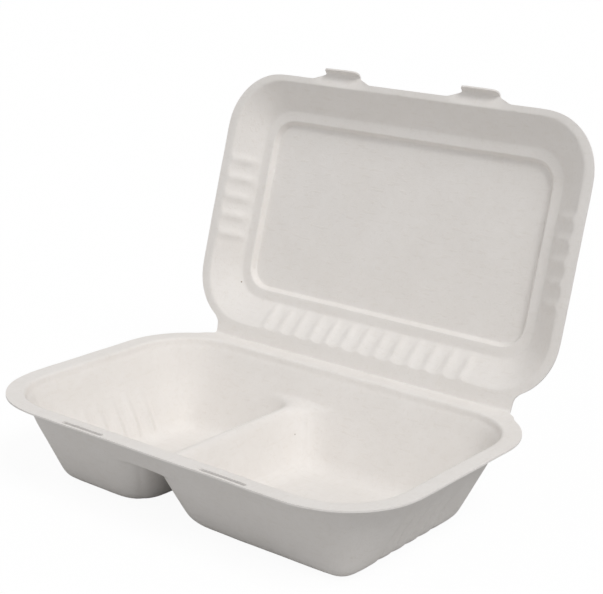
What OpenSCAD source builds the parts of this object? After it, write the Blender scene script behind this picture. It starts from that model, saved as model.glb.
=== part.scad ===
// Hinged meal box pressed from bagasse pulp: a tray with two compartments, and a shallow lid on one long fold.
// Millimetres, +Z up. X runs along the fold, Y points from the tray's front to the fold.
// The origin is on the table under the middle of the tray, and the lid stands open as in the photo.

/* [Sheet] */
// Thickness of the pressed pulp in the tray
sheet = 0.9; // [0.7:0.1:1.1]
// Thickness of the pressed pulp in the lid
lid_sheet = 0.7; // [0.6:0.1:0.9]
// Space left between the two rims, and round whatever moves, when the box is shut
rim_gap = 0.3; // [0.2:0.1:0.6]

/* [Tray] */
// Length of the tray's rim
tray_l = 248; // [240:1:260]
// Depth of the tray's rim, from front to fold
tray_w = 160; // [154:1:170]
// Height from the table to the top of the rim
tray_h = 48.4; // [44:0.2:56]
// Corner radius of the rim
tray_corner = 43; // [38:1:46]
// Width of the flat rim
rim_w = 9.8; // [8.6:0.2:11]
// Height of the upright collar under the rim
collar_h = 4; // [3:0.5:6]
// Width of the shoulder under the collar
collar_step = 1.4; // [0.8:0.2:2]
// How far the walls lean in from the collar to the floor
wall_lean = 20.6; // [17:0.2:23]
// Corner radius of the outer floor, seen from above
floor_corner = 12; // [10:1:16]
// Radius where the walls turn into the floor
floor_edge_r = 8.4; // [6:0.2:9]

/* [Divider] */
// Place of the ridge between the compartments, along X
ridge_x = -19.5; // [-30:0.5:-14]
// Depth of the ridge under the rim
ridge_drop = 15; // [13:0.5:20]
// Radius of the ridge's rounded top
ridge_r = 4; // [3:0.5:5]
// Space between the two floors
floor_space = 26.5; // [24:0.5:32]
// Corner radius of the compartments beside the divider, seen from above
divider_corner = 7; // [5:0.5:9]

/* [Flutes] */
// Distance from one flute to the next
flute_pitch = 10.9; // [10:0.1:11.4]
// Flutes in each end wall of the tray and of the lid
end_flutes = 5; // [3:2:5]
// Flutes in the lid's wall beside the fold
back_flutes = 13; // [7:2:13]
// How far a flute of the tray stands into the box
tray_flute = 1.5; // [0.8:0.1:2]
// Height above the table where the tray's flutes begin
flute_foot = 1.2; // [0.6:0.1:2]
// Height over which they grow to their full depth
flute_grow = 6; // [4:0.5:8]
// Height over which they fade out again under the ridge
flute_fade = 14; // [8:0.5:18]
// How far a flute of the lid stands into the box, along the lid
lid_flute = 2.0; // [1:0.1:2.4]

/* [Lid] */
// How far each end of the lid's rim stands in from the tray's when the box is shut
lid_in_end = 6.3; // [4:0.1:9]
// How far the front of the lid's rim stands in from the tray's when the box is shut
lid_in_front = 8.05; // [7:0.05:10]
// Corner radius of the lid's rim
lid_corner = 32.5; // [28:0.5:36]
// Width of the lid's rim at its ends
lid_rim_end = 5.5; // [4:0.5:8]
// Width of the lid's rim at its long sides
lid_rim_side = 3.5; // [3:0.1:4.5]
// Depth of the ledge round the lid's panel
ledge_depth = 10.8; // [8:0.2:14]
// How far the lid's wall runs in before it meets the ledge
lid_wall_run = 15.3; // [12:0.1:18]
// Width of the ledge
ledge_w = 6; // [4:0.5:8]
// How far the panel is set out beyond the ledge
panel_step = 3.4; // [2:0.2:5]

/* [Fold] */
// Length of the fold, from neck to neck
fold_l = 195; // [180:1:200]
// Width of the strip between the fold and the lid's rim
strip_w = 5.2; // [4.5:0.1:6]
// Distance from the tray's rim to the fold
fold_out = 0.45; // [0.4:0.05:0.6]
// Radius of the rounded fold itself
fold_r = 0.45; // [0.4:0.05:0.6]
// How far the rounded fold stops short of each neck
fold_short = 0.5; // [0.3:0.1:1]
// Radius where the rims run into the neck
neck_r = 6; // [3:0.5:8]
// Angle between the open lid and the tray's rim: 180 is laid out flat, 0 is shut
open_angle = 105.3; // [60:0.1:150]

/* [Catches] */
// Distance from the middle of the box to each catch
catch_x = 44.5; // [38:0.5:52]
// Width of a tab at its tip
tab_w = 23; // [18:1:26]
// Extra width of a tab where it leaves the rim, on each side
tab_flare = 7; // [4:0.5:9]
// How much narrower the end of a hook is than its root, on each side
tab_taper = 2; // [1:0.1:3]
// Width of the slanting facet beside a hook, where it meets the rim
facet_w = 1.5; // [1:0.1:2.5]
// How far that facet stands out from the rim
facet_out = 1.2; // [0.8:0.1:1.6]
// How far the tab dips outwards before it hooks
tab_dip = 1.6; // [0.8:0.1:2.4]
// How far the tab's hook reaches past the lid's rim
tab_reach = 5.6; // [5:0.1:6]
// How far the hook stands in from the lid's rim
hook_h = 4.2; // [3:0.1:5]
// How far the hook slants out on its way down
hook_run = 1.8; // [1:0.1:2.2]
// Length left in a slot beside the hook, at each end
slot_play = 1.5; // [1:0.5:3]

/* [Hidden] */
pulp = [0.93, 0.90, 0.86];
corner_steps = 6;
lap = 0.4;
overlap = 0.99;

// Lines of the tray, worked out from the sizes above
collar_x = tray_l / 2 - rim_w;
collar_y = tray_w / 2 - rim_w;
collar_z = tray_h - collar_h;
lean_angle = atan((wall_lean - collar_step + sheet) / collar_z);
floor_bend = 90 - lean_angle;
ridge_z = tray_h - ridge_drop;
ridge_centre = ridge_z - ridge_r;
half_space = floor_space / 2;
foot_line = norm([half_space, ridge_centre]);
divider_rise = atan(ridge_centre / half_space) + asin((ridge_r - sheet) / foot_line);
divider_lean = 90 - divider_rise;

// Lines of the fold and the lid
fold_y = tray_w / 2 + fold_out;
fold_z = tray_h + rim_gap / 2;
lid_l = tray_l - 2 * lid_in_end;
lid_w = tray_w + fold_out - strip_w - lid_in_front;
lid_mid = strip_w + lid_w / 2;
mouth_x = lid_l / 2 - lid_rim_end;
mouth_y = lid_w / 2 - lid_rim_side;
mouth_corner = lid_corner - lid_rim_side;
tip_y = strip_w + lid_w + tab_reach;
slot_w = hook_run + lid_sheet + 2 * rim_gap;
slot_y = tip_y - lid_sheet / 2 - hook_run / 2 - fold_y;

// One flute seen from above: 1 on its crest, 0 from half a pitch away
function flute(u) = pow(cos(180 * u), 4);

// Places of a row of flutes, four to a pitch
function flute_row(count) = [for (k = [-2 * count : 2 * count]) k / 4];

function arc(cx, cy, r, from) =
    [for (i = [0 : corner_steps]) let (a = from + 90 * i / corner_steps) [cx + r * cos(a), cy + r * sin(a)]];

// A rounded rectangle from xa to xb, reaching yb both ways. Its corners are ra at xa and rb at xb.
// Rows of flutes stand in from the two ends and from the side at -yb: counts are [at xa, at xb, at -yb].
function outline(xa, xb, yb, ra, rb, depth = 0, counts = [0, 0, 0]) = concat(
    arc(xb - rb, -yb + rb, rb, -90),
    counts[1] ? [for (u = flute_row(counts[1])) [xb - depth * flute(u), u * flute_pitch]] : [],
    arc(xb - rb, yb - rb, rb, 0),
    arc(xa + ra, yb - ra, ra, 90),
    counts[0] ? [for (u = flute_row(counts[0])) [xa + depth * flute(u), -u * flute_pitch]] : [],
    arc(xa + ra, -yb + ra, ra, 180),
    counts[2] ? [for (u = flute_row(counts[2])) [u * flute_pitch, -yb + depth * flute(u)]] : []
);

// A solid through a stack of outlines with the same number of points
module loft(outlines, heights) {
    n = len(outlines[0]);
    m = len(outlines);
    polyhedron(
        points = [for (j = [0 : m - 1]) for (p = outlines[j]) [p[0], p[1], heights[j]]],
        faces = concat(
            [[for (i = [0 : n - 1]) i]],
            [for (j = [0 : m - 2]) for (i = [0 : n - 1]) let (k = (i + 1) % n)
                each [[j * n + k, j * n + i, (j + 1) * n + i], [j * n + k, (j + 1) * n + i, (j + 1) * n + k]]],
            [[for (i = [n - 1 : -1 : 0]) (m - 1) * n + i]]
        ),
        convexity = 8
    );
}

// The tray's faces are worked out for a surface that lies o outside the inner face: 0 is inside, sheet is outside.

// Distance in from the mouth to an end or side wall at height z
function wall_in(z, o) = z >= collar_z ? -o : wall_lean - z * tan(lean_angle) + (sheet - o) / cos(lean_angle);

// Distance from the middle of the ridge to a compartment's wall at height z
function divider_out(z, o) = half_space - z * tan(divider_lean) + (sheet - o) / cos(divider_lean);

// Bend between wall and floor: its radius, its heights, and how far it pulls in the foot of a wall
function bend_r(o) = floor_edge_r - sheet + o;
function bend_heights(o) = [for (i = [0 : 5]) sheet - o + bend_r(o) * (1 - cos(floor_bend * i / 5))];
function bend_pull(z, o, lean) = let (r = bend_r(o), up = r - (z - sheet + o))
    up <= r * sin(lean) ? 0 : r / cos(lean) - up * tan(lean) - sqrt(r * r - up * up);

// Plan radius of the tray's corners, which grow from the floor to the mouth
function corner_at(z, o) = let (t = min(1, max(0, z / collar_z)))
    (1 - t) * floor_corner + t * (tray_corner - rim_w + sheet) + o - sheet;

// Flutes of the tray are deepest near the floor and fade out below the ridge
function tray_flute_at(z) =
    tray_flute * min(1, max(0, z - flute_foot) / flute_grow) * min(1, max(0, ridge_centre - z) / flute_fade);

// Height where the compartments' walls meet the ridge's round top
function ridge_foot(o) = ridge_centre + (ridge_r - o) * sin(divider_lean);

// One compartment below the ridge. side is -1 for the small one on the left and 1 for the large one.
module compartment(side, o) {
    bend = bend_heights(o);
    rise = ridge_foot(o) - bend[5];
    heights = concat(bend, [for (i = [1 : 4]) bend[5] + rise * i / 4]);
    walls = [for (z = heights)
        let (
            pull = bend_pull(z, o, lean_angle),
            x_end = collar_x - wall_in(z, o) - pull,
            x_mid = divider_out(z, o) + bend_pull(z, o, divider_lean),
            y = collar_y - wall_in(z, o) - pull,
            r_end = corner_at(z, o) - 0.8 * pull,
            r_mid = divider_corner * (1 - 0.45 * z / ridge_z) + o - sheet,
            d = tray_flute_at(z)
        )
        side < 0
            ? outline(-x_end, ridge_x - x_mid, y, r_end, r_mid, d, [end_flutes, 0, 0])
            : outline(ridge_x + x_mid, x_end, y, r_mid, r_end, d, [0, end_flutes, 0])];
    middle = side < 0 ? (ridge_x - collar_x) / 2 : (ridge_x + collar_x) / 2;
    plug = [for (p = walls[9]) [middle + (p[0] - middle) * overlap, p[1] * overlap]];
    loft(concat(walls, [plug]), concat(heights, [heights[9] + lap]));
}

// The whole width of the tray above the ridge's foot, up to the height given
module upper(o, top) {
    heights = [ridge_foot(o), collar_z - collar_step, collar_z, top];
    rings = [for (z = heights)
        let (d = wall_in(z, o), r = corner_at(z, o))
        outline(d - collar_x, collar_x - d, collar_y - d, r, r)];
    for (j = [0 : 2]) hull() loft([rings[j], rings[j + 1]], [heights[j], heights[j + 1]]);
}

// The rounded bar that the sheet is pressed over between the compartments
module ridge_bar(r) {
    translate([ridge_x, 0, ridge_centre]) rotate([90, 0, 0]) cylinder(r = r, h = tray_w, center = true, $fn = 48);
}

// Everything inside the surface that lies o outside the tray's inner face
module tray_form(o, top) {
    compartment(-1, o);
    compartment(1, o);
    difference() {
        upper(o, top);
        ridge_bar(ridge_r - o);
    }
}

module rounded(l, w, r) {
    offset(r = r, $fn = 96) square([l - 2 * r, w - 2 * r], center = true);
}

// A rim with the strip that joins it to the fold, and the hollow corners of the neck. The fold lies at y = 0.
module rim_outline(l, w, r, mid, from) {
    offset(r = -neck_r, $fn = 64) offset(r = neck_r) {
        translate([0, mid]) rounded(l, w, r);
        translate([-fold_l / 2, min(from, mid)]) square([fold_l, abs(mid - from)]);
    }
}

module slot() {
    hull() for (x = [-1, 1])
        translate([x * (tab_w / 2 + slot_play - slot_w / 2), 0, tray_h - sheet - lap])
            cylinder(d = slot_w, h = sheet + 2 * lap, $fn = 24);
}

module tray() {
    color(pulp) difference() {
        union() {
            tray_form(sheet, tray_h - sheet / 2);
            translate([0, fold_y, tray_h - sheet]) linear_extrude(sheet)
                rim_outline(tray_l, tray_w, tray_corner, -fold_y, 0);
            translate([0, fold_y, fold_z]) rotate([0, 90, 0])
                cylinder(r = fold_r, h = fold_l - 2 * fold_short, center = true, $fn = 16);
        }
        tray_form(0, tray_h + 1);
        for (x = [-catch_x, catch_x]) translate([x, -slot_y, 0]) slot();
    }
}

// Profile of the lid from its mouth to its panel: how far in, and how deep, along the inner face
lid_profile = [
    [0, 0],
    [lid_wall_run * 0.08, ledge_depth * 0.12],
    [lid_wall_run * 0.5, ledge_depth * 0.54],
    [lid_wall_run * 0.92, ledge_depth * 0.95],
    [lid_wall_run, ledge_depth],
    [lid_wall_run + ledge_w, ledge_depth],
    [lid_wall_run + ledge_w + panel_step * 0.15, ledge_depth + panel_step * 0.25],
    [lid_wall_run + ledge_w + panel_step * 0.40, ledge_depth + panel_step * 0.85],
    [lid_wall_run + ledge_w + panel_step * 0.65, ledge_depth + panel_step]
];

// Share of the full flute depth at each point of that profile
lid_flute_share = [0.6, 0.8, 1, 0.5, 0, 0, 0, 0, 0];

function unit(v) = v / norm(v);
function turned(v) = [-v[1], v[0]];

// The profile moved o outwards, square to the sheet
function lid_skin(o) = [for (i = [0 : len(lid_profile) - 1])
    let (
        p = lid_profile[i],
        a = turned(unit(i > 0 ? p - lid_profile[i - 1] : [0.3, 1])),
        b = turned(unit(i < len(lid_profile) - 1 ? lid_profile[i + 1] - p : [1, 0])),
        m = unit(a + b)
    )
    p + m * o / max(0.6, m * b)];

// Everything inside the surface that lies o outside the lid's inner face, with its mouth up at the level given
module lid_form(o, mouth) {
    skin = lid_skin(o);
    last = len(skin) - 1;
    levels = concat([for (i = [last : -1 : 0]) -rim_gap / 2 - skin[i][1]], [mouth]);
    outlines = [for (j = [0 : last + 1])
        let (
            i = max(0, last - j),
            d = skin[i][0],
            r = mouth_corner - 0.75 * d,
            f = lid_flute * lid_flute_share[i]
        )
        outline(d - mouth_x, mouth_x - d, mouth_y - d, r, r, f, [end_flutes, end_flutes, back_flutes])];
    translate([0, lid_mid, 0]) loft(outlines, levels);
}

// A flat piece of sheet between corner points that lie in the middle of its thickness
module leaf(corners) {
    hull() for (c = corners) translate(c) sphere(d = lid_sheet, $fn = 8);
}

// A tab on the lid's front rim: a dipped ramp, a hook for the slot, and a slanting facet at each side
module tab() {
    y0 = strip_w + lid_w - lid_rim_side;
    y2 = tip_y - lid_sheet / 2;
    y1 = y2 - hook_run;
    edge = strip_w + lid_w - lid_sheet / 2;
    z0 = -rim_gap / 2 - lid_sheet / 2;
    a = tab_w / 2 - lid_sheet / 2;
    b = tab_w / 2 + tab_flare;
    leaf([[-a, y0, z0], [a, y0, z0], [-a, y1, z0 - tab_dip], [a, y1, z0 - tab_dip]]);
    leaf([[-a, y1, z0 - tab_dip], [a, y1, z0 - tab_dip], [tab_taper - a, y2, hook_h], [a - tab_taper, y2, hook_h]]);
    for (s = [-1, 1]) {
        leaf([[s * a, y0, z0], [s * b, edge, z0], [s * a, y1, z0 - tab_dip]]);
        leaf([[s * a, y1, z0 - tab_dip], [s * b, edge, z0], [s * (a + facet_w), edge + facet_out, z0]]);
    }
}

module lid_flat() {
    difference() {
        union() {
            lid_form(lid_sheet, -rim_gap / 2 - lid_sheet / 2);
            translate([0, 0, -rim_gap / 2 - lid_sheet]) linear_extrude(lid_sheet) difference() {
                rim_outline(lid_l, lid_w, lid_corner, lid_mid, 0);
                translate([-tray_l / 2, -lid_w]) square([tray_l, lid_w + fold_r + rim_gap]);
            }
        }
        lid_form(0, 1);
    }
    for (x = [-catch_x, catch_x]) translate([x, 0, 0]) tab();
}

module lid() {
    color(pulp) translate([0, fold_y, fold_z]) rotate([180 - open_angle, 0, 0]) lid_flat();
}

tray();
lid();
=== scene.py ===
from math import cos, pi, radians, sin, sqrt, tan

import bmesh
import bpy
from mathutils import Matrix, Vector


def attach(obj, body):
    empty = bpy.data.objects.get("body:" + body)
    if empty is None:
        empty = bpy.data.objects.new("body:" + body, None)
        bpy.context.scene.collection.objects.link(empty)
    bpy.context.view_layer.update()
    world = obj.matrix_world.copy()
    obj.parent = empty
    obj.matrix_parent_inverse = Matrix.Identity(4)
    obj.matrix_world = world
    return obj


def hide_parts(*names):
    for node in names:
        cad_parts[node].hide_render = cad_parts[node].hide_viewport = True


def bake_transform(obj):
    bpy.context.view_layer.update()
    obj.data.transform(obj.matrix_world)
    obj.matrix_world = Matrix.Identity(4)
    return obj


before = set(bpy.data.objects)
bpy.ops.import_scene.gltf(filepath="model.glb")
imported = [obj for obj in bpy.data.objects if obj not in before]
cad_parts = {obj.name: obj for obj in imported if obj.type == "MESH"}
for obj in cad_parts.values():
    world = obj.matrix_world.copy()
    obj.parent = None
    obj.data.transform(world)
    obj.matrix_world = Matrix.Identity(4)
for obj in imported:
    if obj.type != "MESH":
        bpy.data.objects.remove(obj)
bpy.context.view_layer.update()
mm = 0.001

def within(value, low, high):
    return min(1, max(0, (value - low) / (high - low)))


def startEditing(obj):
    bpy.ops.object.select_all(action="DESELECT")
    obj.select_set(True)
    bpy.context.view_layer.objects.active = obj
    bpy.ops.object.mode_set(mode="EDIT")


def stopEditing():
    bpy.ops.object.mode_set(mode="OBJECT")


# selects the points, edges or faces whose middle passes the test, in mm, and counts them
def pick(obj, kind, test):
    bpy.ops.mesh.select_mode(type=kind)
    bpy.ops.mesh.select_all(action="DESELECT")
    shape = bmesh.from_edit_mesh(obj.data)
    shape.verts.ensure_lookup_table()
    parts = {"VERT": shape.verts, "EDGE": shape.edges, "FACE": shape.faces}[kind]
    count = 0
    for part in parts:
        if kind == "VERT":
            place = part.co
        elif kind == "EDGE":
            place = (part.verts[0].co + part.verts[1].co) / 2
        else:
            place = part.calc_center_median()
        if test(place.x / mm, place.y / mm, place.z / mm):
            part.select_set(True)
            count += 1
    shape.select_flush_mode()
    bmesh.update_edit_mesh(obj.data)
    return count


# selects the faces that were picked before, by their number
def pickAgain(obj, faces):
    bpy.ops.mesh.select_mode(type="FACE")
    bpy.ops.mesh.select_all(action="DESELECT")
    shape = bmesh.from_edit_mesh(obj.data)
    shape.faces.ensure_lookup_table()
    for index in faces:
        shape.faces[index].select_set(True)
    bmesh.update_edit_mesh(obj.data)


def move(x=0, y=0, z=0):
    bpy.ops.transform.translate(value=(x * mm, y * mm, z * mm))


# one more ring inside the picked faces
def inset(inward, down):
    bpy.ops.mesh.inset(thickness=inward * mm, depth=-down * mm, use_even_offset=True, use_boundary=True)


def extrude(step):
    bpy.ops.mesh.extrude_region_move(TRANSFORM_OT_translate={"value": [v * mm for v in step]})


def cutAcross(place, normal):
    bpy.ops.mesh.bisect(plane_co=[v * mm for v in place], plane_no=normal, threshold=0.00002)


# where the straight part of a side ends, on both sides of the middle
def cornerLines(whole, corner):
    return [corner - whole / 2, whole / 2 - corner]


# a rounded rectangle of the size given, crossed by straight lines
def roundedSheet(name, size, z, columns, rows):
    length, width, corner = size["length"], size["width"], size["corner"]
    bpy.ops.object.select_all(action="DESELECT")
    bpy.ops.mesh.primitive_plane_add(size=1, location=(0, 0, 0))
    sheet = bpy.context.object
    sheet.name = sheet.data.name = name
    startEditing(sheet)
    bpy.ops.mesh.select_all(action="SELECT")
    bpy.ops.transform.resize(value=(length * mm, width * mm, 1))
    move(z=z)
    bpy.ops.mesh.bevel(offset=corner * mm, segments=size["cornerCuts"], profile=0.5, affect="VERTICES")
    for x in columns + cornerLines(length, corner):
        bpy.ops.mesh.select_all(action="SELECT")
        cutAcross((x, 0, 0), (1, 0, 0))
    for y in rows + cornerLines(width, corner):
        bpy.ops.mesh.select_all(action="SELECT")
        cutAcross((0, y, 0), (0, 1, 0))
    bpy.ops.mesh.select_all(action="SELECT")
    return sheet


# in mm: every ring of the tray is (how far in, how far down) from the ring before it
traySheetSize = {
    "length": 248, "width": 160, "top": 48.4, "corner": 43, "cornerCuts": 8, "thickness": 0.85,
    "rim": [(1.2, 0), (6.6, 0), (1.3, 0.15), (0.8, 0.75)],
    "collar": [(0.45, 1.6), (0.4, 1.3), (0.75, 1.1), (0.83, 1.37)],
    "wall": [(2.72, 5.63), (1.885, 3.9), (0.677, 1.4), (1.503, 3.11)],
    "lean": 25.8, "dividerLean": 20.4, "wallStops": [22.6, 17, 11.5, 6.84],
    "bend": 10.6, "bendSteps": 4, "floorRing": 1.6,
    "ridgeX": -19.5, "ridgeRadius": 4, "ridgeCentre": 26.8, "ridgeClear": 4.5,
    "dividerCorner": 4.6, "dividerCuts": 3, "columnsFrom": -45, "columnsTo": 8,
}
fluteSize = {
    "pitch": 10.9, "ends": 5, "back": 13, "tray": 2.1, "lid": 2.0,
    "trayFoot": (1.2, 7.2), "trayFade": (15.4, 29.4),
    "mouthStart": 0.6, "mouthGrow": 4.5, "mouthFade": (6.2, 10.9), "mouthIn": 1.6,
}
near = 0.02   # two points this close are at the same height

# lines across the sheet: one for each flute's crest and hollow, and the lines of the ridge
halfPitch = fluteSize["pitch"] / 2
ridgeFoot = traySheetSize["ridgeRadius"] * cos(radians(traySheetSize["dividerLean"]))
ridgeLines = [traySheetSize["ridgeX"] + k * ridgeFoot for k in (-1, -0.53, 0, 0.53, 1)]
fluteLines = [k * halfPitch for k in range(-14, 15)]
clearOfRidge = [x for x in fluteLines if abs(x - traySheetSize["ridgeX"]) > traySheetSize["ridgeClear"]]
lidColumns = sorted(clearOfRidge + ridgeLines)
trayColumns = [
    x for x in lidColumns
    if x in ridgeLines or x < traySheetSize["columnsFrom"] or x > traySheetSize["columnsTo"]
]
sheetRows = [k * halfPitch for k in range(-6, 7)]

# the tray
size = traySheetSize
tray = roundedSheet("traySheet", size, size["top"], trayColumns, sheetRows)
bpy.ops.mesh.select_mode(type="FACE")
z = size["top"]
inward = 0
for step in size["rim"] + size["collar"] + size["wall"]:
    inset(*step)
    inward += step[0]
    z -= step[1]
footZ, footIn = z, inward
halfTrayY = size["width"] / 2 - footIn
print("tray: rim, collar and upper wall, foot of the ridge at", round(footZ, 2), "and", round(footIn, 2), "in")

wallSlope, dividerSlope = tan(radians(size["lean"])), tan(radians(size["dividerLean"]))
cornerPlaces = []
for side in (-1, 1):
    edgeAt, sideAt, z = size["ridgeX"] + side * ridgeFoot, halfTrayY, footZ
    cornerPlaces.append((edgeAt, sideAt, z))
    pick(tray, "FACE", lambda x, y, h: abs(h - footZ) < near and (x - edgeAt) * side > 0)
    for stop in size["wallStops"]:
        down = z - stop
        inset(down * wallSlope, down)
        z, sideAt, edgeAt = stop, sideAt - down * wallSlope, edgeAt + side * down * wallSlope
        pick(tray, "VERT", lambda x, y, h: abs(h - z) < near and abs(x - edgeAt) < 0.05)
        move(x=side * down * (dividerSlope - wallSlope))   # the divider is steeper than the walls
        edgeAt += side * down * (dividerSlope - wallSlope)
        cornerPlaces.append((edgeAt, sideAt, z))
        pick(tray, "FACE", lambda x, y, h: abs(h - z) < near and (x - edgeAt) * side > 0)
    turn = radians(90 - size["lean"])
    for i in range(size["bendSteps"]):   # the walls turn into the floor
        before, after = turn * (1 - i / size["bendSteps"]), turn * (1 - (i + 1) / size["bendSteps"])
        inward = size["bend"] * (sin(before) - sin(after))
        target = size["thickness"] + size["bend"] * (1 - cos(after))
        inset(inward, z - target)
        z, sideAt, edgeAt = target, sideAt - inward, edgeAt + side * inward
        cornerPlaces.append((edgeAt, sideAt, z))
    inset(size["floorRing"], 0)
    print("tray: compartment", side, "has its floor at", round(z, 2), "from x", round(edgeAt, 1))


def isCorner(x, y, z):
    return any(abs(x - p[0]) + abs(abs(y) - p[1]) + abs(z - p[2]) < 0.2 for p in cornerPlaces)


# the four corners beside the divider are rounded
pick(tray, "VERT", isCorner)
bpy.ops.mesh.select_mode(type="EDGE")
bpy.ops.mesh.bevel(offset=size["dividerCorner"] * mm, segments=size["dividerCuts"], profile=0.5, affect="EDGES")

# the ridge is raised round
for line in ridgeLines[1:4]:
    lift = size["ridgeCentre"] + sqrt(size["ridgeRadius"] ** 2 - (line - size["ridgeX"]) ** 2) - footZ
    pick(tray, "VERT", lambda x, y, h: abs(h - footZ) < near and abs(x - line) < 0.05)
    move(z=lift)
    for end in (-1, 1):
        pick(tray, "VERT", lambda x, y, h: (
            abs(h - footZ - lift) < near and abs(x - line) < 0.05 and abs(y - end * halfTrayY) < 0.1))
        move(y=end * lift * wallSlope)
stopEditing()
print("tray control sheet:", len(tray.data.polygons), "faces")

# the lid, laid flat with its mouth up: a ring's third value is how much rounder its corners get
lidSheetSize = {
    "length": 235.4, "width": 147.2, "corner": 32.5, "cornerCuts": 8, "strip": 5.2, "mouth": -0.15,
    "endExtra": 2.0, "clearX": 8, "clearY": 7,
    "rim": [(0.9, 0, 0), (2.0, 0, 0), (0.6, 0.1, 0)],
    "wall": [(1.2, 0.9, 0), (3.2, 2.3, 0.8), (3.3, 2.35, 0.8), (6.4, 4.5, 1.6), (1.2, 0.65, 0.3)],
    "ledge": [(1.0, 0.03, 0.2), (3.9, 0, 0.8), (0.8, 0.05, 0.2)],
    "step": [(0.45, 0.75, 0.1), (0.9, 1.75, 0.1), (0.5, 0.75, 0.1), (0.7, 0.1, 0), (2.0, 0, 0)],
    "mouthX": 5.5, "mouthY": 3.5,
}
size = lidSheetSize
lid = roundedSheet("lidSheet", size, size["mouth"], lidColumns, sheetRows)
bpy.ops.mesh.select_mode(type="FACE")
z = size["mouth"]
halfX, halfY, corner = size["length"] / 2, size["width"] / 2, size["corner"]
for side in (-1, 1):   # the lines that start the corners stay clear of the panel's rounder corners
    pick(lid, "VERT", lambda x, y, h: abs(x * side - halfX + corner) < 0.1 and abs(y) < halfY - 1)
    move(x=-side * size["clearX"])
    pick(lid, "VERT", lambda x, y, h: abs(y * side - halfY + corner) < 0.1 and abs(x) < halfX - 1)
    move(y=-side * size["clearY"])
pick(lid, "FACE", lambda x, y, h: True)


def pickedFaces(obj):
    return [face.index for face in bmesh.from_edit_mesh(obj.data).faces if face.select]


def lidRing(inward, down, growth):
    global z, halfX, halfY, corner
    inset(inward, down)
    z, halfX, halfY, corner = z - down, halfX - inward, halfY - inward, corner - inward
    if growth:
        inner = pickedFaces(lid)
        grown = 1 + growth / corner
        middleX, middleY = halfX - corner, halfY - corner
        for sideX in (-1, 1):
            for sideY in (-1, 1):
                def onCorner(x, y, h):
                    outX, outY = x * sideX - middleX, y * sideY - middleY
                    onArc = abs(sqrt(outX ** 2 + outY ** 2) - corner) < 0.8
                    return abs(h - z) < near and min(outX, outY) > -1.4 and onArc
                pick(lid, "VERT", onCorner)
                middle = (middleX * sideX * mm, middleY * sideY * mm, z * mm)
                bpy.ops.transform.resize(value=(grown, grown, 1), center_override=middle)
                move(x=-growth * sideX, y=-growth * sideY)
        corner += growth
        pickAgain(lid, inner)


for step in size["rim"]:
    lidRing(*step)
inner = pickedFaces(lid)
for side in (-1, 1):   # the rim is wider at both ends
    def onEnd(x, y, h):
        outX, outY = x * side - halfX + corner, abs(y) - halfY + corner
        return abs(h - z) < near and outX > -0.8 and (abs(x) > halfX - 0.1 or outX + outY > 0.93 * corner)
    pick(lid, "VERT", onEnd)
    move(x=-side * size["endExtra"])
halfX -= size["endExtra"]
pickAgain(lid, inner)
for step in size["wall"] + size["ledge"] + size["step"]:
    lidRing(*step)

# two tabs on the lid's front rim: the rim dips, the tab runs on and its end hooks up
catchSize = {
    "x": 44.5, "tip": 11.5, "flare": 7, "reshaped": 4.2,
    "dips": [(0, 0.9), (0.9, 0.6), (2.9, 0.1)], "ramp": (3.0, -0.8), "flareBack": (2.2, -1.9, 0.6),
    "hook": [(0.8, 0.35, 1), (0.8, 1.0, 1), (0.6, 1.3, 0.97), (0.45, 1.2, 0.93)],
    "slotY": -77.6, "slotW": 2.1, "slotPlay": 2.3, "slotRound": 0.49, "slotDeep": 6,
}
size = catchSize
front = lidSheetSize["width"] / 2
middle, tip, flared = size["x"], size["tip"], size["tip"] + size["flare"]
tabColumns = (
    (5 * halfPitch, middle - flared), (6 * halfPitch, middle - tip),
    (10 * halfPitch, middle + tip), (11 * halfPitch, middle + flared),
)
for side in (-1, 1):
    for old, new in tabColumns:
        pick(lid, "VERT", lambda x, y, h: y > front - size["reshaped"] and abs(x * side - old) < 0.1)
        move(x=side * (new - old))
    for depth, dip in size["dips"]:
        pick(lid, "VERT", lambda x, y, h: abs(y - front + depth) < 0.1 and abs(x * side - middle) < tip + 0.1)
        move(z=-dip)
    pick(lid, "EDGE", lambda x, y, h: y > front - 0.1 and abs(x * side - middle) < flared - 0.5)
    extrude((0, size["ramp"][0], size["ramp"][1]))
    for end in (-1, 1):
        at = middle + end * flared
        pick(lid, "VERT", lambda x, y, h: y > front + 2 and abs(x * side - at) < 0.2)
        move(x=-side * end * size["flareBack"][0], y=size["flareBack"][1], z=size["flareBack"][2])
    pick(lid, "EDGE", lambda x, y, h: y > front + 2.9 and abs(x * side - middle) < tip - 0.8)
    for out, up, narrow in size["hook"]:
        extrude((0, out, up))
        bpy.ops.transform.resize(value=(narrow, 1, 1), center_override=(middle * side * mm, 0, 0))
stopEditing()
print("lid control sheet:", len(lid.data.polygons), "faces, panel at", round(z, 2))

# the lid is stood up on the fold and the two become one sheet
foldSize = {
    "y": 80.45, "z": 48.55, "line": 80.5, "openAngle": 105.3, "halfLength": 97.6, "reach": 4.0,
    "bendStrip": 1.1, "straight": 81, "cutTray": 76.72, "cutLid": 7.7,
}
foldTurn = radians(180 - foldSize["openAngle"])
foldMiddle = Matrix.Translation((0, foldSize["y"] * mm, foldSize["z"] * mm))
lidPlace = foldMiddle @ Matrix.Rotation(foldTurn, 4, "X")
lidMiddle = lidSheetSize["strip"] + lidSheetSize["width"] / 2
lid.matrix_world = lidPlace @ Matrix.Translation((0, lidMiddle * mm, 0))
bpy.ops.object.select_all(action="DESELECT")
lid.select_set(True)
bpy.context.view_layer.objects.active = lid
bpy.ops.object.transform_apply(location=True, rotation=True, scale=True)
tray.select_set(True)
bpy.context.view_layer.objects.active = tray
bpy.ops.object.join()
sheet = bpy.context.object
toLid = lidPlace.inverted()
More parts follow.
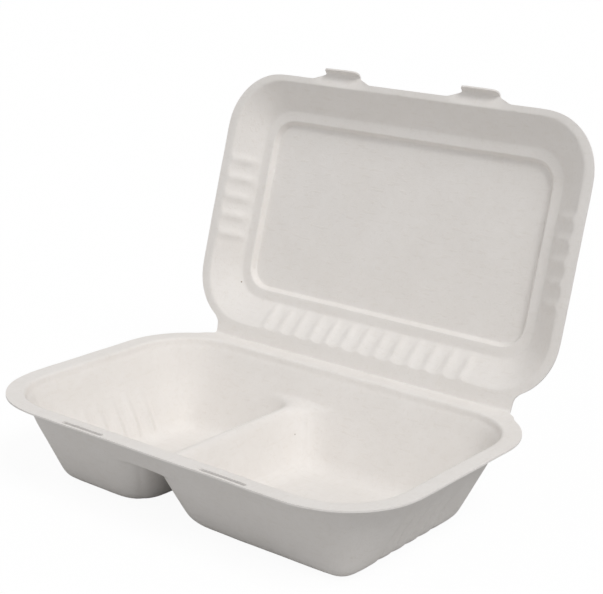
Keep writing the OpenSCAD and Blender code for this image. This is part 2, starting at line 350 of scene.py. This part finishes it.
alongLid = lidPlace.to_3x3() @ Vector((0, 1, 0))


# a test that is given places on the laid-flat lid
def onLid(test):
    def tested(x, y, z):
        p = toLid @ Vector((x * mm, y * mm, z * mm)) / mm
        return test(p.x, p.y, p.z)
    return tested


# edges of a rim beside the fold, by the corner's middle and radius
def besideFold(x, y, middleX, middleY, radius, toFold):
    if abs(x) <= middleX:
        return (y - middleY) * toFold > radius - 0.1
    onArc = sqrt((abs(x) - middleX) ** 2 + (y - middleY) ** 2) > radius * 0.992
    return onArc and abs(x) < foldSize["halfLength"] - 1 and (y - middleY) * toFold > 0


def onBackEdge(x, y, z):
    edge = traySheetSize["width"] / 2
    return abs(z - traySheetSize["top"]) < 0.1 and edge - 1.1 < y < edge and abs(x) < foldSize["straight"]


startEditing(sheet)
size = traySheetSize
for column in [c for c in lidColumns if c not in trayColumns]:
    pick(sheet, "FACE", onBackEdge)
    cutAcross((column, 0, 0), (1, 0, 0))
cornerX, cornerY = size["length"] / 2 - size["corner"], size["width"] / 2 - size["corner"]
trayEdges = pick(sheet, "EDGE", lambda x, y, z: (
    abs(z - size["top"]) < 0.1 and besideFold(x, y, cornerX, cornerY, size["corner"], 1)))
extrude((0, 0, 0))
bpy.ops.transform.resize(value=(1, 0, 1), center_override=(0, foldSize["line"] * mm, size["top"] * mm))
extrude(alongLid * foldSize["bendStrip"])
shape = bmesh.from_edit_mesh(sheet.data)
size = lidSheetSize
cornerX, cornerY = size["length"] / 2 - size["corner"], size["strip"] + size["corner"]
lidEdges = 0
isBeside = onLid(lambda x, y, z: (
    abs(z - size["mouth"]) < 0.1 and besideFold(x, y, cornerX, cornerY, size["corner"], -1)))
for edge in shape.edges:
    place = (edge.verts[0].co + edge.verts[1].co) / 2 / mm
    if edge.is_boundary and not edge.select and isBeside(*place):
        edge.select_set(True)
        lidEdges += 1
bmesh.update_edit_mesh(sheet.data)
print("fold joins", trayEdges, "edges of the tray to", lidEdges, "of the lid")
bpy.ops.mesh.bridge_edge_loops(type="SINGLE")
bpy.ops.mesh.select_all(action="SELECT")
bpy.ops.mesh.normals_make_consistent(inside=False)
stopEditing()
floorFace = max(sheet.data.polygons, key=lambda f: -f.center.z + abs(f.normal.z))
if floorFace.normal.z < 0:
    startEditing(sheet)
    bpy.ops.mesh.select_all(action="SELECT")
    bpy.ops.mesh.flip_normals()
    stopEditing()


def applyModifier(obj, kind, name, **settings):
    modifier = obj.modifiers.new(name, kind)
    for key, value in settings.items():
        setattr(modifier, key, value)
    bpy.ops.object.select_all(action="DESELECT")
    obj.select_set(True)
    bpy.context.view_layer.objects.active = obj
    bpy.ops.object.modifier_apply(modifier=modifier.name)


applyModifier(sheet, "SUBSURF", "soften", levels=2, render_levels=2, uv_smooth="NONE")
print("smoothed sheet:", len(sheet.data.polygons), "faces")


# how far a flute stands out of its wall, as a share of its depth
def flute(place, count):
    turns = place / fluteSize["pitch"]
    return cos(pi * turns) ** 4 if abs(turns) < count / 2 else 0


def mouthShare(depth, outside):
    size = fluteSize
    grown = size["mouthStart"] + (1 - size["mouthStart"]) * within(depth, 0, size["mouthGrow"])
    wall = min(grown, 1 - within(depth, *size["mouthFade"]))
    return wall * (1 - within(outside, 0, size["mouthIn"]))


# the compartments' corners beside the divider are pressed to a large radius, which fades out above the ridge
cornerSize = {
    "round": 12.5, "growth": 0.12, "fade": (29.9, 31.3), "reach": 40,
    "bulge": 0.8, "bulgeTop": 42, "bulgeGrow": 9,
}


# how far the side wall is from the tray's middle and the divider's face from the ridge, at a height
def walls(z):
    size = traySheetSize
    turn = radians(90 - size["lean"])
    bendTop = size["thickness"] + size["bend"] * (1 - cos(turn))
    lower = min(max(z, size["thickness"]), bendTop)
    bendIn = size["bend"] * (sin(turn) - sqrt(1 - (1 - (lower - size["thickness"]) / size["bend"]) ** 2))
    straight = footZ - max(lower, min(z, footZ))
    crest = size["ridgeCentre"] + size["ridgeRadius"]
    if z > footZ:
        middle = sqrt(max(0.01, size["ridgeRadius"] ** 2 - (min(z, crest) - size["ridgeCentre"]) ** 2))
    else:
        middle = ridgeFoot + straight * dividerSlope + bendIn
    return halfTrayY + (z - footZ if z > footZ else -straight) * wallSlope - bendIn, middle


def pressCorner(x, y, z):
    size = traySheetSize
    sideY, middle = walls(z)
    share = 1 - within(z, *cornerSize["fade"])
    fromRidge = x - size["ridgeX"]
    along, across = max(0, abs(fromRidge) - middle), sideY - abs(y)
    radius = (cornerSize["round"] + cornerSize["growth"] * z) * share
    if radius < 1 or along >= radius or across >= radius:
        return 0, 0
    toX, toY = along - radius, across - radius
    reach, longest = sqrt(toX * toX + toY * toY), max(-toX, -toY)
    # how far it is from the new corner's centre to the old wall, along the same line
    old = reach * radius / longest
    old -= (sqrt(2) - 1) * size["dividerCorner"] * (min(-toX, -toY) / longest) ** 4
    shrink = radius / old - 1
    sideways = min(1, abs(fromRidge) / middle)
    return toX * shrink * sideways * (1 if fromRidge > 0 else -1), -toY * shrink * (1 if y > 0 else -1)


# the four outer corners stand out a little further than round
def bulgeCorner(x, y, z):
    size = traySheetSize
    outX = abs(x) - size["length"] / 2 + size["corner"]
    outY = abs(y) - size["width"] / 2 + size["corner"]
    if outX <= 0 or outY <= 0:
        return 0, 0
    reach = sqrt(outX * outX + outY * outY)
    wall = walls(z)[0] - size["width"] / 2 + size["corner"]
    slant = (2 * outX * outY / reach ** 2) ** 2
    push = cornerSize["bulge"] * within(cornerSize["bulgeTop"] - z, 0, cornerSize["bulgeGrow"])
    push *= slant * min(1, reach / wall) / reach
    return outX * push * (1 if x > 0 else -1), outY * push * (1 if y > 0 else -1)


# the necks beside the fold are wide hollows, with no notch where the rim meets the strip
neckSize = {"x": 98.2, "y": 77.6, "push": 3.1, "reach": 8.5, "sideways": 0.6, "rimOnly": (77, 79.5)}


def fillNeck(x, y):
    away = sqrt((abs(x) - neckSize["x"]) ** 2 + (y - neckSize["y"]) ** 2)
    push = neckSize["push"] * (1 - within(away, 0, neckSize["reach"]) ** 2)
    back = neckSize["sideways"] * push * (1 - within(y, *neckSize["rimOnly"]))
    return push if x > 0 else -push, back


mouthX = lidSheetSize["length"] / 2 - lidSheetSize["mouthX"]
mouthY = lidSheetSize["width"] / 2 - lidSheetSize["mouthY"]
for point in sheet.data.vertices:
    x, y, z = point.co / mm
    local = toLid @ point.co / mm
    if abs(x) > 86 and y > 68 and abs(z - foldSize["z"]) < 8:
        moved = fillNeck(x, y)
        point.co.x += moved[0] * mm
        point.co.y += moved[1] * mm
    if local.y > 1:
        across = local.y - lidMiddle
        depth = lidSheetSize["mouth"] - local.z
        if abs(local.x) > 80:
            push = flute(across, fluteSize["ends"]) * mouthShare(depth, abs(local.x) - mouthX)
            push *= fluteSize["lid"]
            point.co.x -= push * mm if x > 0 else -push * mm
        if across < -40:
            push = flute(local.x, fluteSize["back"]) * mouthShare(depth, -across - mouthY)
            point.co += alongLid * push * fluteSize["lid"] * mm
    elif abs(x - traySheetSize["ridgeX"]) < cornerSize["reach"] and z < cornerSize["fade"][1]:
        moved = pressCorner(x, y, z)
        point.co.x += moved[0] * mm
        point.co.y += moved[1] * mm
    elif abs(x) > 75 and abs(y) > 30 and z < cornerSize["bulgeTop"]:
        moved = bulgeCorner(x, y, z)
        point.co.x += moved[0] * mm
        point.co.y += moved[1] * mm
    elif abs(x) > 70 and z < 30:
        push = flute(y, fluteSize["ends"]) * within(z, *fluteSize["trayFoot"])
        push *= fluteSize["tray"] * (1 - within(z, *fluteSize["trayFade"]))
        point.co.x -= push * mm if x > 0 else -push * mm
print("flutes, corners and necks pressed")


def besideRidge(x, y, z):
    return abs(x - traySheetSize["ridgeX"]) < 36 and 30 < abs(y) < 66 and 0.9 < z < 33


def onNeck(x, y, z):
    return 91 < abs(x) < 106 and y > 72 and abs(z - foldSize["z"]) < 9


# the pressed corners and the necks are smoothed
overTray = [point.co.z for point in sheet.data.vertices]
overLid = [toLid @ point.co for point in sheet.data.vertices]
startEditing(sheet)
pick(sheet, "VERT", besideRidge)
bpy.ops.mesh.vertices_smooth(factor=0.5, repeat=6)
pick(sheet, "VERT", onNeck)
bpy.ops.mesh.vertices_smooth(factor=0.5, repeat=7)
stopEditing()
# both sides of the fold keep their own height there, so that the lid still shuts
for point, height, before in zip(sheet.data.vertices, overTray, overLid):
    x, y, z = point.co / mm
    if abs(x) > 90 and y > 71 and abs(z - foldSize["z"]) < 10:
        if before.y < 0.5 * mm:
            point.co.z = height
        else:
            local = toLid @ point.co
            local.z = before.z
            point.co = lidPlace @ local

# slight unevenness of the drying pulp, and then its thickness
unevenness = bpy.data.textures.new("unevenness", "CLOUDS")
unevenness.noise_scale = 0.035
applyModifier(sheet, "DISPLACE", "drying", texture=unevenness, strength=0.0006, mid_level=0.5, texture_coords="LOCAL")
thickness = traySheetSize["thickness"] * mm
for point in sheet.data.vertices:
    point.co.z = max(point.co.z, thickness)
applyModifier(
    sheet, "SOLIDIFY", "pulp thickness", thickness=thickness, offset=-1,
    use_even_offset=True, use_quality_normals=True)
print("sheet with its thickness:", len(sheet.data.polygons), "faces")

# the sheet is cut across the flat parts beside the fold, into the tray, the lid and the fold's strip
cutY, cutLid = foldSize["cutTray"], foldSize["cutLid"]
startEditing(sheet)
bpy.ops.mesh.select_all(action="SELECT")
cutAcross((0, cutY, 0), (0, 1, 0))
bpy.ops.mesh.select_all(action="SELECT")
cutAcross(lidPlace @ Vector((0, cutLid * mm, 0)) / mm, alongLid)
pick(sheet, "FACE", onLid(lambda x, y, z: y > cutLid))
bpy.ops.mesh.separate(type="SELECTED")
pick(sheet, "FACE", lambda x, y, z: y > cutY)
bpy.ops.mesh.separate(type="SELECTED")
stopEditing()
tray = sheet
parts = [o for o in bpy.context.selected_objects if o != tray]
lid = max(parts, key=lambda o: len(o.data.vertices))
fold = min(parts, key=lambda o: len(o.data.vertices))
for piece, name in ((tray, "traySheet"), (lid, "lidSheet"), (fold, "foldStrip")):
    piece.name = piece.data.name = name
    startEditing(piece)
    bpy.ops.mesh.select_all(action="SELECT")
    bpy.ops.mesh.fill_holes(sides=0)
    stopEditing()

# slots for the tabs
size = catchSize
slotLength = 2 * size["tip"] + 2 * size["slotPlay"]
for side in (-1, 1):
    bpy.ops.mesh.primitive_cube_add(size=1, location=(0, 0, 0))
    cutter = bpy.context.object
    cutter.name = "slotCutter"
    startEditing(cutter)
    bpy.ops.mesh.select_all(action="SELECT")
    bpy.ops.transform.resize(value=(slotLength * mm, size["slotW"] * mm, size["slotDeep"] * mm))
    pick(cutter, "EDGE", lambda x, y, z: abs(z) < 0.1)
    bpy.ops.mesh.bevel(offset=size["slotW"] * size["slotRound"] * mm, segments=5, affect="EDGES")
    bpy.ops.mesh.select_all(action="SELECT")
    move(size["x"] * side, size["slotY"], traySheetSize["top"])
    stopEditing()
    applyModifier(tray, "BOOLEAN", "slot", operation="DIFFERENCE", object=cutter, solver="EXACT")
    bpy.data.objects.remove(cutter)

for piece in (tray, lid, fold):
    bpy.ops.object.select_all(action="DESELECT")
    piece.select_set(True)
    bpy.context.view_layer.objects.active = piece
    bpy.ops.object.shade_smooth_by_angle(angle=radians(40))
    check = bmesh.new()
    check.from_mesh(piece.data)
    openEdges = sum(1 for edge in check.edges if not edge.is_manifold)
    triangles = sum(len(face.verts) - 2 for face in check.faces)
    volume = round(check.calc_volume() / mm ** 3)
    print(piece.name, triangles, "triangles,", openEdges, "open edges,", volume, "cubic mm")
    check.free()


# a shader value that can be added and multiplied
class Value:
    def __init__(self, maker, socket):
        self.maker, self.socket = maker, socket

    def math(self, operation, *others):
        node = self.maker.tree.nodes.new("ShaderNodeMath")
        node.operation = operation
        for slot, value in zip(node.inputs, (self,) + others):
            self.maker.feed(slot, value)
        return Value(self.maker, node.outputs[0])

    def __add__(self, other):
        return self.math("ADD", other)

    def __radd__(self, other):
        return self.math("ADD", other)

    def __sub__(self, other):
        return self.math("SUBTRACT", other)

    def __rsub__(self, other):
        return (self * -1).math("ADD", other)

    def __mul__(self, other):
        return self.math("MULTIPLY", other)

    def __rmul__(self, other):
        return self.math("MULTIPLY", other)

    def above(self, limit, softness):
        return ((self - limit) * (1 / softness)).math("MINIMUM", 1).math("MAXIMUM", 0)

    def below(self, limit, softness):
        return 1 - self.above(limit, softness)


# the nodes of a material or of the world, given as its owner
class Finish:
    def __init__(self, owner):
        owner.use_nodes = True
        self.tree = owner.node_tree
        self.tree.nodes.clear()

    def feed(self, slot, value):
        if isinstance(value, Value):
            self.tree.links.new(value.socket, slot)
        elif isinstance(value, bpy.types.NodeSocket):
            self.tree.links.new(value, slot)
        else:
            slot.default_value = value

    # a node of any other type: its settings first, then the values or links of its sockets
    def node(self, kind, settings=None, **inputs):
        node = self.tree.nodes.new("ShaderNode" + kind)
        for key, value in (settings or {}).items():
            setattr(node, key, value)
        for key, value in inputs.items():
            self.feed(node.inputs[key.replace("_", " ")], value)
        return node

    def noise(self, place, scale, detail=2, roughness=0.5):
        node = self.node("TexNoise", Vector=place, Scale=scale, Detail=detail, Roughness=roughness)
        return Value(self, node.outputs["Fac"])

    def mixed(self, share, a, b):
        node = self.node("MixShader", Fac=share)
        self.feed(node.inputs[1], a.outputs[0])
        self.feed(node.inputs[2], b.outputs[0])
        return node.outputs[0]

    def blend(self, share, a, b):
        node = self.node("Mix", {"data_type": "RGBA"})
        for slot, value in zip((node.inputs[0], node.inputs[6], node.inputs[7]), (share, a, b)):
            self.feed(slot, value)
        return node.outputs[2]


pulpLook = {
    "pale": (0.858, 0.829, 0.802, 1), "deep": (0.82, 0.787, 0.753, 1),
    "fibre": (0.72, 0.665, 0.60, 1), "fibreShare": 0.22, "fibreHeight": 0.00006,
    "speck": (0.20, 0.13, 0.08, 1), "speckShare": 0.8, "speckCells": 95, "speckSize": 0.035, "rarity": 0.965,
    "cloudScale": 38, "mottleScale": 260, "grainScale": 1500, "grainHeight": 0.00005,
    "roughness": 0.86, "ior": 1.42, "specular": 0.32,
}


def pulpFinish(name):
    look = pulpLook
    material = bpy.data.materials.new(name)
    finish = Finish(material)
    place = finish.node("TexCoord").outputs["Object"]
    cloudy = finish.noise(place, look["cloudScale"], 3)
    mottle = finish.noise(place, look["mottleScale"], 3, 0.6)
    grain = finish.noise(place, look["grainScale"], 2, 0.6)
    # short fibres lie every way, so two stretched patterns cross
    strands = []
    for turn, stretch in (((0.3, 0.2, 0.5), (900, 130, 500)), ((-0.4, 0.6, -0.7), (140, 850, 450))):
        turned = finish.node("Mapping", {"vector_type": "POINT"}, Vector=place, Rotation=turn, Scale=stretch)
        strands.append(finish.noise(turned.outputs[0], 1, 1, 0.4))
    fibre = strands[0].above(0.60, 0.10) * 0.5 + strands[1].above(0.61, 0.10) * 0.5
    # a few cells hold a dark speck
    cells = finish.node("TexVoronoi", {"feature": "F1"}, Vector=place, Scale=look["speckCells"])
    dot = Value(finish, cells.outputs["Distance"])
    rare = Value(finish, finish.node("SeparateColor", Color=cells.outputs["Color"]).outputs[0])
    speck = dot.below(look["speckSize"], 0.02) * rare.above(look["rarity"], 0.01)
    colour = finish.blend((cloudy * 0.6 + mottle * 0.4).above(0.30, 0.40), look["deep"], look["pale"])
    colour = finish.blend(fibre * look["fibreShare"], colour, look["fibre"])
    colour = finish.blend(speck * look["speckShare"], colour, look["speck"])
    roughness = look["roughness"] - mottle * 0.08 + grain * 0.06
    height = fibre * look["fibreHeight"] + grain * look["grainHeight"] + mottle * (look["grainHeight"] * 1.6)
    bump = finish.node("Bump", Strength=1.0, Distance=1.0, Height=height)
    shader = finish.node("BsdfPrincipled", Base_Color=colour, Roughness=roughness, Normal=bump.outputs[0])
    shader.inputs["IOR"].default_value = look["ior"]
    shader.inputs["Specular IOR Level"].default_value = look["specular"]
    finish.node("OutputMaterial", Surface=shader.outputs[0])
    return material


pulp = pulpFinish("pressedPulp")
for piece, slot in ((tray, "tray_pulp"), (lid, "lid_pulp"), (fold, "lid_pulp")):
    piece.data.materials.clear()
    piece.data.materials.append(pulp)
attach(tray, "tray")
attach(lid, "lid")
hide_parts("tray")
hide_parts("lid")
foldPoint = Vector((0, foldSize["y"], foldSize["z"])) * mm
halfway = (Vector((0, 1, 0)) + alongLid).normalized() * foldSize["reach"] * mm
foldPoint - halfway
foldPoint + halfway
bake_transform(fold)

# a pale floor that the camera sees as white, with the box's shadow kept
stageSize = {"floor": 6, "bounce": 0.55, "glow": 1.07, "glowShare": 0.88}
white = (1, 1, 1, 1)
bpy.ops.object.select_all(action="DESELECT")
bpy.ops.mesh.primitive_plane_add(size=stageSize["floor"], location=(0, 0, 0))
floor = bpy.context.object
floor.name = "floor"
paleFloor = bpy.data.materials.new("paleFloor")
ground = Finish(paleFloor)
seen = Value(ground, ground.node("LightPath").outputs["Is Camera Ray"])
matt = ground.node("BsdfDiffuse", Color=[stageSize["bounce"]] * 3 + [1])
glow = ground.node("Emission", Color=white, Strength=stageSize["glow"])
ground.node("OutputMaterial", Surface=ground.mixed(seen * stageSize["glowShare"], matt, glow))
floor.data.materials.append(paleFloor)

# the world is plain white to the eye and softer as a light
lightSize = {
    "ambient": 0.46, "key": 1.45, "keyTurn": (38, 0, 68), "keySpread": 24,
    "fill": 0.25, "fillTurn": (62, 0, -25), "fillSpread": 60,
}
studio = bpy.data.worlds.new("studio")
bpy.context.scene.world = studio
air = Finish(studio)
path = air.node("LightPath")
plain = Value(air, path.outputs["Is Camera Ray"]).math("MAXIMUM", path.outputs["Is Glossy Ray"])
soft = air.node("Background", Color=white, Strength=lightSize["ambient"])
clear = air.node("Background", Color=white, Strength=1.0)
air.node("OutputWorld", Surface=air.mixed(plain, soft, clear))


def sunLamp(name, strength, turn, spread):
    bpy.ops.object.light_add(type="SUN", rotation=[radians(v) for v in turn])
    lamp = bpy.context.object
    lamp.name = name
    lamp.data.energy = strength
    lamp.data.angle = radians(spread)


sunLamp("keyLamp", lightSize["key"], lightSize["keyTurn"], lightSize["keySpread"])
sunLamp("fillLamp", lightSize["fill"], lightSize["fillTurn"], lightSize["fillSpread"])

# the camera stands where the photograph was taken, a little turned
cameraSize = {
    "eye": (0.4457, -0.5404, 0.3097), "azimuth": 37.83, "elevation": 16.16, "roll": 1.49,
    "lens": 88.85, "sensor": 36,
}
azimuth, elevation, roll = (radians(cameraSize[key]) for key in ("azimuth", "elevation", "roll"))
back = Vector((sin(azimuth) * cos(elevation), -cos(azimuth) * cos(elevation), sin(elevation)))
right = (-back).cross(Vector((0, 0, 1))).normalized()
up = right.cross(-back)
rolledRight = cos(roll) * right + sin(roll) * up
rolledUp = cos(roll) * up - sin(roll) * right
bpy.ops.object.camera_add()
camera = bpy.context.object
camera.data.lens = cameraSize["lens"]
camera.data.sensor_fit = "HORIZONTAL"
camera.data.sensor_width = cameraSize["sensor"]
turned = Matrix((rolledRight, rolledUp, back)).transposed().to_4x4()
camera.matrix_world = Matrix.Translation(cameraSize["eye"]) @ turned
bpy.context.scene.camera = camera
bpy.context.scene.view_settings.view_transform = "Standard"

print("scene ready")
